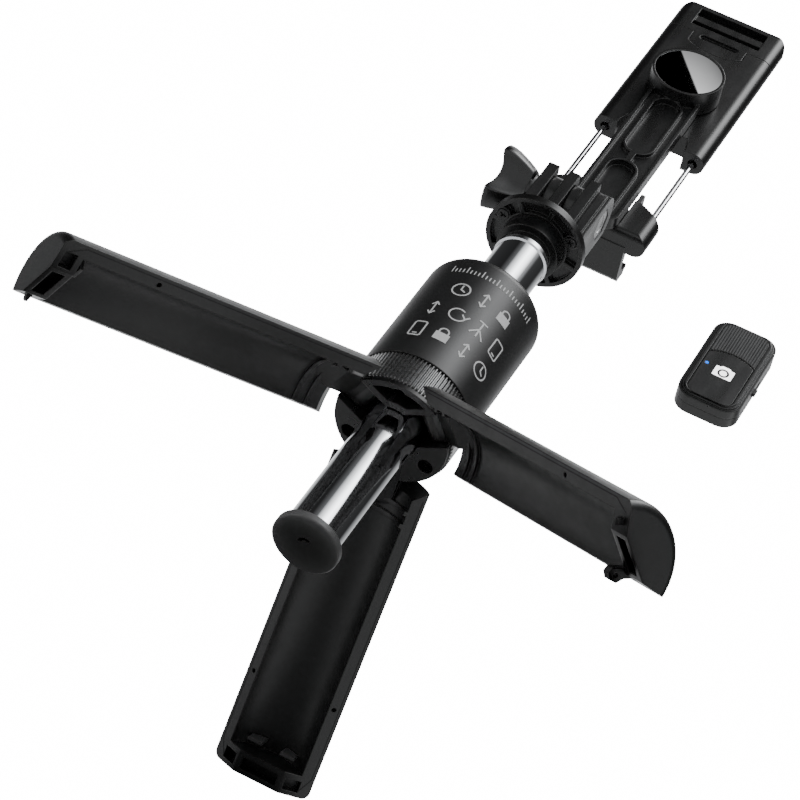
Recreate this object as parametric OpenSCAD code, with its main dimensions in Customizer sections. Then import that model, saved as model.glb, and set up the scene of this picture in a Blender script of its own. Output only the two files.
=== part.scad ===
// Tripod selfie stick: a telescopic pole that slides through a hub with three
// folding trough-shaped legs, a three-ear hinge, a cranked arm with a round
// mirror, a phone clamp that spins behind the mirror, and a remote control.
// Origin: centre of the end cap's flat face. +Z runs up the pole, the phone
// side of the clamp faces +Y, and the hinge pin runs along X.

/* [Legs] */
// Angle of an open leg, measured from the folded position
leg_open = 60.25; // [40:0.25:70]
// Length of a leg from its hinge pin to its flat tip
leg_len = 92.2; // [80:0.1:110]
// Outer radius of the handle that the three folded legs form
leg_r = 15.6; // [15:0.1:18]
// Radius of the trough inside a leg
trough_r = 11.95; // [10:0.05:13]
// Distance of the leg hinge pin from the pole's axis
hinge_r = 10.5; // [10:0.1:12]
// Distance of the flat inner face of a leg tip from the pole's axis when folded
tip_flat = 3.85; // [3:0.05:5]
// Depth of the solid block at a leg's tip
tip_block = 6; // [5:0.1:9]

/* [Pole] */
// Height of the end cap's face above the floor on which the open legs stand
cap_lift = 1.4; // [0.5:0.1:5]
// Outer radius of the outermost tube
tube_r = 7.2; // [7:0.05:7.2]
// Wall thickness of every tube
tube_wall = 0.42; // [0.3:0.01:0.5]
// Sliding clearance between two tubes
tube_gap = 0.08; // [0.02:0.01:0.1]
// Radius of the end cap
cap_r = 8.8; // [8:0.1:10]

/* [Body] */
// Radius of the body cylinder
body_r = 16; // [15:0.1:18]
// Height of the bottom face of the hub above the end cap's face
hub_z = 45.1; // [44:0.1:50]
// Height of the joint between the knurled band and the body
body_z = 56.4; // [55:0.1:60]
// Height of the top of the body
body_top = 99.6; // [95:0.1:110]

/* [Head] */
// Radius of the flange disc under the hinge
disc_r = 13.8; // [13:0.1:16]
// Height of the underside of the flange disc
disc_z = 129.4; // [128:0.1:135]
// Thickness of one hinge ear
ear_t = 3.05; // [2.5:0.05:3.5]
// Distance from one hinge ear to the next, centre to centre
ear_pitch = 6.1; // [6:0.05:7]
// Height of the tilt axis
tilt_z = 147.1; // [146:0.1:150]

/* [Arm and clamp] */
// Distance of the arm's near face from the pole's axis
arm_y = 23.4; // [22:0.1:24]
// Distance of the arm's back face from the pole's axis
arm_back = 27.2; // [26.8:0.1:27.3]
// Half of the arm's width
arm_w = 7.75; // [7:0.05:9]
// Height of the centre of the mirror, about which the clamp spins
mirror_z = 249.1; // [245:0.1:255]
// Radius of the round boss that holds the mirror
boss_r = 10.9; // [10:0.1:12]
// Distance of the mirror's rim from the pole's axis
boss_y = 19.7; // [19:0.1:21]
// Distance of the clamp's back face from the pole's axis
clamp_y = 27.7; // [27.7:0.1:29]
// Thickness of the clamp
clamp_t = 7; // [6.5:0.1:8]
// Half of the clamp's width
clamp_w = 17.5; // [16:0.1:18]
// Height of the top of the clamp
clamp_top = 292.8; // [290:0.1:300]
// Height of the bottom of the clamp housing
clamp_low = 224.6; // [224:0.1:228]
// Height of the bottom of the lower jaw
jaw_low = 180.6; // [180:0.1:184]
// Distance of the jaw rods from the middle plane
rod_x = 14; // [13:0.1:14]
// Radius of a jaw rod
rod_r = 0.85; // [0.7:0.05:0.9]
// How far both lips reach out past the clamp's phone side
lip_out = 12; // [9:0.5:14]

/* [Remote] */
// Centre of the remote, sideways
remote_x = 57; // [50:0.1:80]
// Front face of the remote, towards the near side
remote_y = 20; // [0:0.1:40]
// Height of the bottom of the remote
remote_z = 123.2; // [100:0.1:160]
// Width of the remote
remote_w = 17.8; // [16:0.1:22]
// Height of the remote
remote_h = 33.7; // [28:0.1:40]
// Thickness of the remote
remote_t = 6.6; // [6:0.1:9]

/* [Hidden] */
$fn = 64;
eps = 0.01;

// Height of the leg hinge pins: the inner edges of the open tips stand on the floor
pin_z = leg_len * cos(leg_open) + (hinge_r - tip_flat) * sin(leg_open) - cap_lift;
cap_z = 0;             // the end cap's face
left_az = 210;
right_az = 330;
rear_az = 90;
pin_r = 1.5;
slot_w = 9.7;          // width of a leg's slot in the hub
tongue_w = 9;        // width of a leg's hinge tongue
wedge_gap = 0.15;      // half of the gap between two folded legs
hub_r = 14.6;
flange_r = 15.3;
pad_hole_r = 12.15;    // distance of the hub screws from the pole's axis
tube_low = 5.6;          // height of the lower ends of the inner tubes
tube_top = 122;      // height of the top of the outer tube
half_ear = ear_t / 2;
tongue_t = 2.65;       // thickness of one hinge tongue of the arm
tongue_x = ear_pitch / 2;
ear_front = 7.74;
ear_top = 153.1;
slot_floor = 137.8;    // bottom of the gaps between the hinge ears
block_x = 11.85;
bolt_r = 2.5;
knob_x = -8;         // inner face of the thumb knob
seam_z = 279;          // height of the seam between housing and upper jaw
clamp_mid = clamp_y + clamp_t / 2;
front_y = clamp_y + clamp_t;
rod_top = 246;
jaw_shoulder = 191.2;
screw_az = [207, 331];
screw_ring = 11;

// ---------------------------------------------------------------- helpers

module at_leg(az) {
    rotate([0, 0, az]) translate([hinge_r, 0, pin_z]) rotate([0, -leg_open, 0])
        translate([-hinge_r, 0, 0]) children();
}

module tube(r_out, r_in, z0, z1) {
    translate([0, 0, z0]) difference() {
        cylinder(r = r_out, h = z1 - z0);
        translate([0, 0, -1]) cylinder(r = r_in, h = z1 - z0 + 2);
    }
}

// Lies along X from x0 to x1, with its axis through y and z
module rod_x_dir(r, x0, x1, y, z) {
    translate([x0, y, z]) rotate([0, 90, 0]) cylinder(r = r, h = x1 - x0);
}

// Lies along Y from y0 to y1, with its axis through x and z
module rod_y_dir(r, y0, y1, x, z) {
    translate([x, y0, z]) rotate([-90, 0, 0]) cylinder(r = r, h = y1 - y0);
}

// Extrudes an outline drawn in X and Z along Y, from y0 to y1
module plate_y(y0, y1) {
    translate([0, y1, 0]) rotate([90, 0, 0]) linear_extrude(y1 - y0) children();
}

// Extrudes an outline drawn in Y and Z along X, from x0 to x1
module plate_x(x0, x1) {
    translate([x0, 0, 0]) rotate([90, 0, 90]) linear_extrude(x1 - x0) children();
}

// Rectangle with round corners, made of exact arcs
module round_rect(w, h, r) {
    union() {
        translate([-w / 2 + r, -h / 2]) square([w - 2 * r, h]);
        translate([-w / 2, -h / 2 + r]) square([w, h - 2 * r]);
        for (sx = [-1, 1], sy = [-1, 1])
            translate([sx * (w / 2 - r), sy * (h / 2 - r)]) circle(r);
    }
}

// Flat bar between two points with round ends, in 2D
module stadium(len, w) {
    union() {
        square([len - w, w], center = true);
        for (s = [-1, 1]) translate([s * (len - w) / 2, 0]) circle(w / 2);
    }
}

// Outline of a rod-sided slab seen from above: flat faces and half-round edges
module slab_section(w, t) {
    union() {
        square([2 * w - t, t], center = true);
        for (s = [-1, 1]) translate([s * (w - t / 2), 0]) circle(t / 2);
    }
}

module pan_screw(r_head, h_head, r_shank, len) {
    difference() {
        cylinder(r = r_head, h = h_head);
        for (a = [0, 90]) rotate([0, 0, a])
            translate([-r_head * 0.65, -0.25, -eps]) cube([r_head * 1.3, 0.5, h_head * 0.55]);
    }
    translate([0, 0, h_head]) cylinder(r = r_shank, h = len);
}

// ---------------------------------------------------------------- hub and body

module leg_slots(extra, z0, z1) {
    for (az = [left_az, right_az, rear_az]) rotate([0, 0, az])
        translate([0, -slot_w / 2 - extra, z0]) cube([20, slot_w + 2 * extra, z1 - z0]);
}

module hub_yoke() color([0.06, 0.06, 0.065]) difference() {
    union() {
        translate([0, 0, hub_z]) cylinder(r = flange_r, h = 1.4);
        translate([0, 0, hub_z]) cylinder(r = hub_r, h = body_z - hub_z - 0.1);
    }
    translate([0, 0, hub_z - 1]) cylinder(r = tube_r + 0.35, h = 20);
    leg_slots(0, hub_z - 1, hub_z + 9.2);
    for (az = [left_az, right_az, rear_az]) rotate([0, 0, az])
        translate([hinge_r, 0, pin_z]) rotate([90, 0, 0])
            cylinder(r = pin_r, h = 17.2, center = true);
    for (az = [30, 150, 270]) rotate([0, 0, az]) {
        translate([pad_hole_r, 0, hub_z - 1]) cylinder(r = 2.05, h = az == 270 ? 7.5 : 5);
        translate([pad_hole_r, 0, hub_z - 1]) cylinder(r = 1.1, h = 20);
    }
    // The near pad is a frame round a deep pocket
    intersection() {
        translate([0, 0, hub_z - 1]) linear_extrude(7.5) difference() {
            circle(flange_r - 1.7);
            circle(tube_r + 2.2);
            for (az = [left_az, right_az]) rotate([0, 0, az])
                translate([0, -slot_w / 2 - 1.7]) square([20, slot_w + 3.4]);
        }
        translate([-20, -20, hub_z - 2]) cube([40, 16, 10]);
    }
}

module knurled_band() color([0.09, 0.09, 0.095]) difference() {
    tube(15.9, hub_r + 0.1, hub_z + 1.5, body_z - 0.1);
    for (az = [left_az, right_az, rear_az]) rotate([0, 0, az])
        translate([8, -6.6, hub_z]) cube([12, 13.2, 7.8]);
}

module body_shell() color([0.07, 0.07, 0.075]) difference() {
    rotate_extrude($fn = 96) difference() {
        union() {
            translate([0, body_z]) square([body_r, body_top - body_z - 3.2]);
            translate([0, body_z]) square([body_r - 3.2, body_top - body_z]);
            translate([body_r - 3.2, body_top - 3.2]) circle(3.2);
        }
        translate([0, body_z - 1]) square([tube_r + 0.9, 60]);
        translate([0, body_z - 1]) square([body_r - 2, body_top - body_z - 2]);
    }
    translate([-20, -20, body_z - 10]) cube([40, 40, 10]);
}

module guide_bush() color([0.25, 0.25, 0.26]) union() {
    tube(9.6, tube_r + 0.06, body_z + 0.2, body_top - 3.2);
    tube(body_r - 2.1, 9.6 - eps, body_z + 0.2, body_z + 3.2);
    tube(body_r - 2.1, 9.6 - eps, body_top - 7.2, body_top - 3.2);
}

module hub_screws() color([0.3, 0.3, 0.31])
    for (az = [30, 150, 270]) rotate([0, 0, az])
        translate([pad_hole_r, 0, hub_z + (az == 270 ? 5.2 : 2.8)])
            pan_screw(1.9, 1.2, 1.1, az == 270 ? 3.4 : 7.1);

module leg_hinge_pins() color([0.55, 0.55, 0.57])
    for (az = [left_az, right_az, rear_az]) rotate([0, 0, az])
        translate([hinge_r, 0, pin_z]) rotate([90, 0, 0])
            cylinder(r = pin_r, h = 17, center = true);

// ---------------------------------------------------------------- legs

// Sector of 120 degrees, drawn in the folded leg's own frame with X outwards
module leg_sector() {
    translate([2 * wedge_gap / sqrt(3), 0])
        polygon([[0, 0], [30 * cos(60), 30 * sin(60)], [40, 0], [30 * cos(60), -30 * sin(60)]]);
}

// Outer envelope: a cylinder whose tip edge is rounded and whose root is cut back on a cone
module leg_envelope() {
    rotate_extrude($fn = 96) difference() {
        union() {
            translate([0, -leg_len + 2]) square([leg_r, leg_len - 2 - 5.6]);
            translate([0, -leg_len]) square([leg_r - 2, 10]);
            translate([leg_r - 2, -leg_len + 2]) circle(2);
        }
        polygon([[-1, 0], [20, 0], [20, -2.1], [leg_r, -5.6], [8, -11.8], [-1, -11.8]]);
        translate([-5, -leg_len - 1]) square([5, leg_len + 2]);
    }
}

pocket_lo = 87.7;
pocket_hi = 90.9;

// Recess in the radial face of a leg tip that the next leg's hook snaps into
module side_pocket(side) {
    rotate([0, 0, side * 60]) translate([8.2, side > 0 ? -2.6 : -0.6, -pocket_hi])
        cube([4.2, 3.2, pocket_hi - pocket_lo]);
}

// Hook that stands out of the radial face of a leg tip
module side_hook(side) {
    rotate([0, 0, side * 60]) translate([9.5, 0, -90.3])
        mirror([0, side > 0 ? 0 : 1, 0])
            rotate([90, 0, 90]) linear_extrude(1.6)
                polygon([[-1.2, 0], [1.3, 0.2], [1.6, 0.7], [-1.2, 2]]);
}

// Latch plate with an eye, beside the tip block, that reaches over the joint to the next leg
module latch_plate() {
    rotate([0, 0, 60]) difference() {
        union() {
            translate([0, 0, -85.9]) linear_extrude(2.1)
                polygon([[9.6, -1.6], [9.6, 0], [7.6, 1.1], [6.4, 2.8], [4.4, 3], [3, 1.8],
                         [3.2, 0.4], [7.4, -1.6]]);
            translate([7.9, -1.6, -88]) cube([1.7, 1.5, 3]);
        }
        translate([5.1, 1.4, -90]) cylinder(r = 0.6, h = 9);
    }
}

// side_a and side_b tell what the radial faces carry: 2 a latch, 1 a hook, -1 a pocket
module leg(az, side_a, side_b) at_leg(az) difference() {
    union() {
        difference() {
            intersection() {
                leg_envelope();
                translate([0, 0, -leg_len - 1]) linear_extrude(leg_len) leg_sector();
            }
            translate([0, 0, -leg_len + tip_block]) cylinder(r = trough_r, h = leg_len, $fn = 96);
            translate([-20, -20, -leg_len - 1]) cube([20 + tip_flat, 40, leg_len]);
            translate([tip_flat - 1, -5, -pocket_hi]) cube([4, 10, pocket_hi - pocket_lo]);
            if (side_a < 0) side_pocket(1);
            if (side_b < 0) side_pocket(-1);
        }
        if (side_a == 1) side_hook(1);
        if (side_a == 2) latch_plate();
        if (side_b == 1) side_hook(-1);
        // Hinge tongue and the web that joins it to the trough
        rotate([90, 0, 0]) linear_extrude(tongue_w, center = true) union() {
            translate([hinge_r, 0]) circle(2.85);
            polygon([[8.5, -1.6], [9.4, -4], [9.4, -9.5], [12.4, -15.5], [14.8, -15.5], [14.8, -6.6],
                     [13.2, -0.9]]);
        }
        // Shallow lip across the trough at its end next to the hinge
        for (z = [12.8, 16.2]) intersection() {
            translate([0, 0, -z]) difference() {
                cylinder(r = trough_r + 0.5, h = 1.1, $fn = 96);
                translate([0, 0, -1]) cylinder(r = trough_r - 0.8, h = 4, $fn = 96);
            }
            translate([0, 0, -30]) linear_extrude(20) leg_sector();
        }
    }
    translate([hinge_r, 0, 0]) rotate([90, 0, 0])
        cylinder(r = pin_r + 0.06, h = 12, center = true);
    for (s = [-1, 1]) rotate([0, 0, s * 60]) translate([13.3, 0, -66.75])
        rotate([90, 0, 0]) cylinder(r = 0.6, h = 5, center = true);
}

module leg_left() color([0.07, 0.07, 0.075]) leg(left_az, -1, 1);
module leg_right() color([0.07, 0.07, 0.075]) leg(right_az, 2, 1);
module leg_rear() color([0.07, 0.07, 0.075]) leg(rear_az, -1, -1);

// Thin plate that stands in the trough beside the tip block
module trough_clip(az, y) color([0.16, 0.16, 0.17]) at_leg(az)
    intersection() {
        translate([7.2, y - 2, -leg_len + tip_block + 2]) cube([8, 4, 0.9]);
        translate([0, 0, -leg_len]) cylinder(r = trough_r, h = leg_len, $fn = 96);
    }

module leg_left_clip() trough_clip(left_az, 3.2);
module leg_right_clip() trough_clip(right_az, -3.2);
module leg_rear_clips() for (y = [-4.6, 4.6]) trough_clip(rear_az, y);

// ---------------------------------------------------------------- pole

// Outer radius of section n, where section 1 is the outermost
function section_r(n) = tube_r - (n - 1) * (tube_wall + tube_gap);

module outer_tube() color([0.8, 0.8, 0.82]) union() {
    tube(tube_r, tube_r - tube_wall, cap_z + 1.9, tube_top);
    tube(tube_r + 0.4, tube_r - eps, tube_top - 1.3, tube_top);
}

module end_cap() color([0.1, 0.1, 0.1]) difference() {
    union() {
        translate([0, 0, cap_z + 0.3]) cylinder(r = cap_r, h = 1.6);
        translate([0, 0, cap_z]) cylinder(r1 = cap_r - 0.3, r2 = cap_r, h = 0.3);
        tube(tube_r - tube_wall, tube_r - 1.6, cap_z + 1.9, cap_z + 4.9);
    }
    // Curved keyhole in the middle of the face
    translate([0, 0, cap_z - eps]) rotate([0, 0, 190]) rotate_extrude(angle = 120)
        translate([1.1, 0]) square([0.9, 1.2]);
}

module section(n) color([0.8, 0.8, 0.82])
    tube(section_r(n), section_r(n) - tube_wall, tube_low, tube_top + 0.15);

module tube_2() section(2);
module tube_3() section(3);
module tube_4() section(4);
module tube_5() section(5);
module tube_6() section(6);

// ---------------------------------------------------------------- head

module head_socket() color([0.05, 0.05, 0.055]) union() {
    // Plug inside the innermost tube, neck and collar
    translate([0, 0, 106.6]) cylinder(r = section_r(6) - tube_wall, h = 17);
    translate([0, 0, 122.6]) cylinder(r = 6.6, h = 3);
    translate([0, 0, 125]) cylinder(r = 8.7, h = disc_z - 125 + 1.2);
}

module flange_disc() color([0.06, 0.06, 0.065]) difference() {
    union() {
        translate([0, 0, disc_z]) cylinder(r = disc_r, h = 2.2);
        translate([0, 0, disc_z + 2.1]) cylinder(r = disc_r - 0.7, h = 0.5);
    }
    // Recessed underside with radial ribs and two screw bosses
    difference() {
        translate([0, 0, disc_z - 1]) cylinder(r = disc_r - 1.3, h = 2.3);
        translate([0, 0, disc_z - 2]) cylinder(r = 9.4, h = 5);
        for (k = [0 : 7]) rotate([0, 0, k * 45 + 14])
            translate([5, -0.6, disc_z - 2]) cube([12, 1.2, 5]);
        for (a = screw_az) rotate([0, 0, a])
            translate([screw_ring, 0, disc_z - 2]) cylinder(r = 2.1, h = 5);
    }
    translate([0, 0, disc_z - 1]) cylinder(r = 8.7, h = 2.2);
    for (a = screw_az) rotate([0, 0, a]) translate([screw_ring, 0, disc_z - 1]) {
        cylinder(r = 1.65, h = 1.9);
        cylinder(r = 0.9, h = 5);
    }
}

module flange_screws() color([0.12, 0.12, 0.12])
    for (a = screw_az) rotate([0, 0, a])
        translate([screw_ring, 0, disc_z - 0.25]) pan_screw(1.55, 1.1, 0.85, 6);

// Side view of a hinge ear in Y and Z
module ear_outline(top) {
    difference() {
        translate([-ear_front, disc_z + 2.6]) square([2 * ear_front, top - disc_z - 2.6]);
        translate([ear_front - 4, top - 4]) difference() {
            square([5, 5]);
            circle(4);
        }
    }
}

// Side view of the nut block, with a round top about the tilt axis
module nut_block_outline(front) {
    intersection() {
        union() {
            translate([0, tilt_z]) circle(ear_front);
            translate([-ear_front, disc_z + 2.6]) square([14, tilt_z - disc_z - 2.6]);
        }
        translate([-front, 100]) square([front + 6.3, 100]);
    }
}

module hinge_block() color([0.07, 0.07, 0.075]) difference() {
    union() {
        for (x = [-ear_pitch, 0, ear_pitch]) plate_x(x - half_ear, x + half_ear) ear_outline(ear_top);
        plate_x(ear_pitch + half_ear - 0.5, 8.6) nut_block_outline(ear_front - 1);
        plate_x(8.5, block_x - 0.9) nut_block_outline(ear_front);
        plate_x(block_x - 1, block_x) nut_block_outline(ear_front - 0.8);
        plate_x(-ear_pitch, ear_pitch)
            translate([-ear_front, disc_z + 2.6]) square([2 * ear_front, slot_floor - disc_z - 2.6]);
    }
    rod_x_dir(bolt_r + 0.05, -12, 20, 0, tilt_z);
    translate([block_x - 2.9, 0, tilt_z]) rotate([0, 90, 0]) cylinder(r = 4.7, h = 5, $fn = 6);
    for (a = screw_az) rotate([0, 0, a])
        translate([screw_ring, 0, disc_z + 2]) cylinder(r = 0.85, h = 5.1);
}

module hinge_nut() color([0.7, 0.7, 0.72]) difference() {
    translate([block_x - 2.8, 0, tilt_z]) rotate([0, 90, 0]) cylinder(r = 4.6, h = 2.6, $fn = 6);
    rod_x_dir(bolt_r + 0.05, 0, 20, 0, tilt_z);
}

// ---------------------------------------------------------------- knob

module hinge_bolt() color([0.75, 0.75, 0.77])
    rod_x_dir(bolt_r, knob_x - 8, block_x - 0.4, 0, tilt_z);

knob_lobes = [150, 270, 30];

module thumb_knob() color([0.05, 0.05, 0.055]) difference() {
    union() {
        plate_x(knob_x - 11.8, knob_x - 1.4) difference() {
            translate([0, tilt_z]) circle(9.7);
            for (a = knob_lobes)
                translate([14 * cos(a + 60), tilt_z + 14 * sin(a + 60)]) circle(8.6);
        }
        rod_x_dir(5, knob_x - 2, knob_x, 0, tilt_z);
    }
    rod_x_dir(bolt_r, knob_x - 8, 0, 0, tilt_z);
}

// ---------------------------------------------------------------- arm

beam_low = 178;
link_w = 4.5;          // half of the width of the cranked link

// Cranked side view of the arm in Y and Z, without the tongues
module arm_side() {
    union() {
        translate([arm_y, beam_low]) square([arm_back - arm_y, mirror_z - beam_low]);
        translate([0, tilt_z]) polygon([[3, 12.3], [11.2, 5.9], [arm_back, 29.5], [arm_back, 36],
                                        [arm_y, 36], [arm_y, 31.2]]);
    }
}

module tongue_side() {
    translate([0, tilt_z]) union() {
        circle(6.9);
        polygon([[-4.1, 3.2], [4.1, -3.2], [12.2, 7.3], [4.2, 13.4]]);
    }
}

// Stadium ring that stands in the channel of the beam
module pocket_ring(z0, z1, w) {
    translate([0, (z0 + z1) / 2]) rotate(90) stadium(z1 - z0, 2 * w);
}

module arm_beam() color([0.07, 0.07, 0.075]) difference() {
    union() {
        difference() {
            union() {
                intersection() {
                    plate_x(-arm_w, arm_w) arm_side();
                    // Rounded lower corners and the waist down to the tongues
                    plate_y(-40, 60) union() {
                        translate([0, beam_low + 41]) round_rect(2 * arm_w, 82, 3);
                        translate([-link_w, 100]) square([2 * link_w, 90]);
                    }
                }
                rod_y_dir(boss_r, boss_y, arm_back, 0, mirror_z);
            }
            // Channel between the side walls
            plate_y(arm_y - 1, arm_back - 2.6) difference() {
                translate([0, 210.3]) round_rect(2 * arm_w - 2.2, 62, 2);
                pocket_ring(179.8, 205.3, 4.8);
                pocket_ring(209, 239, 4.8);
                translate([-1, 199]) square([2, 12]);
                translate([-0.6, 235]) square([1.2, 8]);
                translate([0, mirror_z]) circle(boss_r);
            }
            // Insides of the two stadium pockets
            plate_y(arm_y - 1, arm_back - 1.7) {
                pocket_ring(180.6, 204.5, 4);
                pocket_ring(209.8, 238.2, 4);
            }
            // Seat of the mirror, and the recess of the cover at the back
            rod_y_dir(boss_r - 0.8, boss_y - 1, boss_y + 1.6, 0, mirror_z);
            plate_y(arm_back - 0.7, arm_back + 1) translate([0, 208.6]) round_rect(10.4, 48.4, 2);
        }
        for (s = [-1, 1])
            plate_x(s * tongue_x - tongue_t / 2, s * tongue_x + tongue_t / 2) tongue_side();
    }
    rod_x_dir(bolt_r + 0.08, -12, 20, 0, tilt_z);
    // Bearing of the clamp's pivot stud
    rod_y_dir(3.06, boss_y + 3, arm_back + 1, 0, mirror_z);
}

module mirror_disc() color([0.85, 0.87, 0.9])
    rod_y_dir(boss_r - 0.9, boss_y + 0.2, boss_y + 1.6, 0, mirror_z);

// Cover plate let into the back of the beam
module arm_back_cover() color([0.1, 0.1, 0.105])
    plate_y(arm_back - 0.7, arm_back) translate([0, 208.6]) round_rect(10, 48, 2);

// ---------------------------------------------------------------- clamp

module slab(z0, z1) {
    translate([0, clamp_mid, z0]) linear_extrude(z1 - z0) slab_section(clamp_w, clamp_t);
}

// Tongue of the upper jaw that runs down over the housing, in X and Z
module jaw_tongue(grow) {
    union() {
        translate([-8.6 - grow, 274.4 - grow]) square([17.2 + 2 * grow, 10]);
        intersection() {
            translate([0, 286.3]) circle(14.7 + grow);
            translate([-8.6 - grow, 269]) square([17.2 + 2 * grow, 12]);
        }
    }
}

tongue_depth = 2.2;

module clamp_housing() color([0.1, 0.1, 0.105]) difference() {
    slab(clamp_low, seam_z - 0.1);
    plate_y(clamp_y - 1, clamp_y + tongue_depth) jaw_tongue(0.15);
    // Notch between the two rod bosses
    plate_y(clamp_y - 1, front_y + 1) polygon([
        [-10.8, clamp_low - 1], [10.8, clamp_low - 1], [10.6, clamp_low + 1.6], [9.4, clamp_low + 5.4],
        [-9.4, clamp_low + 5.4], [-10.6, clamp_low + 1.6]]);
    // Rod bores: narrow at the mouth, wide for the springs
    for (s = [-1, 1]) translate([s * rod_x, clamp_mid, 0]) {
        translate([0, 0, clamp_low - 1]) cylinder(r = rod_r + 0.08, h = 10);
        translate([0, 0, clamp_low + 4]) cylinder(r = 2.3, h = seam_z - clamp_low - 6);
        translate([0, 0, clamp_low - 0.5]) cylinder(r = 1.5, h = 2);
    }
    // Seat of the front plate, and the bearing of the pivot stud
    plate_y(front_y - 1.3, front_y + 1) translate([0, 254.1]) round_rect(22.4, 42.4, 2);
    rod_y_dir(3, clamp_y - 1, front_y, 0, mirror_z);
    rod_y_dir(5.1, front_y - 2.4, front_y, 0, mirror_z);
}

module clamp_front_plate() color([0.08, 0.08, 0.085])
    plate_y(front_y - 1.2, front_y - 0.1) translate([0, 254.1]) round_rect(22, 42, 2);

module clamp_pad() color([0.05, 0.05, 0.05])
    plate_y(front_y - 0.1, front_y + 0.7) translate([0, 254.6]) round_rect(17, 34, 3);

module clamp_pivot_stud() color([0.7, 0.7, 0.72]) union() {
    rod_y_dir(3, boss_y + 3.2, front_y - 1.5, 0, mirror_z);
    rod_y_dir(5, front_y - 2.4, front_y - 1.3, 0, mirror_z);
}

lip_x = 11.9;          // half of the width of both lips
lip_y = front_y + lip_out;

// J-shaped ledge in Y and Z that starts at the slab and ends in an upturned lip
module ledge_side() {
    difference() {
        union() {
            translate([front_y - 2, 0]) square([lip_out, 3]);
            translate([front_y - 2, 0]) square([4, 6]);
            translate([lip_y - 2, 1.6]) square([2, 4.4]);
            translate([lip_y - 2.2, 6]) circle(1.2);
            translate([lip_y - 3, 3]) circle(3);
        }
        translate([lip_y - 5, 5]) circle(2.4);
        translate([lip_y - 7.4, 2.6]) square([3, 4]);
    }
}

module upper_jaw() color([0.1, 0.1, 0.105]) difference() {
    union() {
        intersection() {
            union() {
                slab(seam_z + 0.1, clamp_top);
                plate_y(clamp_y, clamp_y + tongue_depth - 0.1) jaw_tongue(0);
            }
            plate_y(0, 80) translate([0, clamp_top - 20]) round_rect(2 * clamp_w, 40, 4);
        }
        // Lip over the phone
        translate([0, 0, clamp_top - 0.4]) mirror([0, 0, 1]) plate_x(-lip_x, lip_x) ledge_side();
    }
    // Window with a cross bar, and the small pill-shaped window under it
    plate_y(clamp_y - 1, clamp_y + 3) {
        translate([-11, 287.6]) square([22, 3.4]);
        translate([-11, 282.3]) square([22, 2.7]);
    }
    plate_y(clamp_y - 1, clamp_y + 0.6) translate([-11, 282.3]) square([22, 8.7]);
    plate_y(clamp_y - 1, clamp_y + 1) translate([0, 277.9]) stadium(12.4, 2.4);
}

module upper_jaw_pad() color([0.05, 0.05, 0.05])
    translate([-11, front_y + 2.2, clamp_top - 6.2]) cube([22, lip_out - 8, 2.8]);

// Helical spring along Z, swept as a closed tube
function helix_ring(r, wire, a, z, n) = [for (k = [0 : n - 1])
    let (t = 360 * k / n, q = r + wire * cos(t)) [q * cos(a), q * sin(a), z + wire * sin(t)]];

module helix(r, wire, z0, z1, turns, steps, n = 5) {
    rings = turns * steps;
    points = [for (i = [0 : rings]) each
        helix_ring(r, wire, 360 * i / steps, z0 + (z1 - z0) * i / rings, n)];
    sides = [for (i = [0 : rings - 1], k = [0 : n - 1])
        [i * n + k, i * n + (k + 1) % n, (i + 1) * n + (k + 1) % n, (i + 1) * n + k]];
    polyhedron(points, concat([[for (k = [n - 1 : -1 : 0]) k]], sides,
                              [[for (k = [0 : n - 1]) rings * n + k]]));
}

spring_low = clamp_low + 4.5;
spring_top = rod_top - 2.6;

module jaw_springs() color([0.7, 0.7, 0.72])
    for (s = [-1, 1]) translate([s * rod_x, clamp_mid, 0])
        helix(1.5, 0.28, spring_low, spring_top, 8, 10);

// ---------------------------------------------------------------- lower jaw

module lower_jaw() color([0.1, 0.1, 0.105]) difference() {
    union() {
        intersection() {
            slab(jaw_low, 199);
            // Sloping shoulders on both sides of the middle
            plate_y(0, 80) polygon([
                [-clamp_w - 1, jaw_low - 1], [clamp_w + 1, jaw_low - 1],
                [clamp_w + 1, jaw_shoulder - 0.8], [9.6, 195.2], [-9.6, 195.2],
                [-clamp_w - 1, jaw_shoulder - 0.8]]);
            // Bottom edge rounded towards the near side
            plate_x(-20, 20) difference() {
                translate([clamp_y - 1, jaw_low - 1]) square([clamp_t + 2, 30]);
                translate([clamp_y - 2, jaw_low - 2]) square([3.8, 3.8]);
            }
        }
        intersection() {
            slab(jaw_low, jaw_low + 3);
            rod_x_dir(1.8, -20, 20, clamp_y + 1.8, jaw_low + 1.8);
        }
        // Two thin walls that run up into the housing's notch
        for (s = [-1, 1]) plate_y(clamp_y + 0.8, front_y - 1.6)
            translate([s * 8.5 - 0.65, 189]) square([1.3, 10.8]);
        translate([0, 0, jaw_low - 0.2]) plate_x(-lip_x, lip_x) ledge_side();
    }
    // Hollow of the near side with its two ribs
    plate_y(clamp_y - 1, clamp_y + 4.2) difference() {
        translate([-7.8, 183.8]) square([15.6, 12]);
        for (x = [-3.6, 3.6]) translate([x - 0.5, 180]) square([1, 11]);
    }
    for (s = [-1, 1]) translate([s * rod_x, clamp_mid, jaw_low + 3]) cylinder(r = rod_r, h = 40);
}

module lower_jaw_pad() color([0.05, 0.05, 0.05])
    translate([-11, front_y + 2.2, jaw_low + 2.8]) cube([22, lip_out - 8, 2.8]);

module jaw_rods() color([0.8, 0.8, 0.82])
    for (s = [-1, 1]) translate([s * rod_x, clamp_mid, jaw_low + 3])
        cylinder(r = rod_r, h = rod_top - jaw_low - 3);

// Washers that hold the springs on the rods
module rod_clips() color([0.6, 0.6, 0.62])
    for (s = [-1, 1]) translate([s * rod_x, clamp_mid, rod_top - 2]) difference() {
        cylinder(r = 2.1, h = 1.2);
        translate([0, 0, -1]) cylinder(r = rod_r, h = 4);
    }

// ---------------------------------------------------------------- remote

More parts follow.
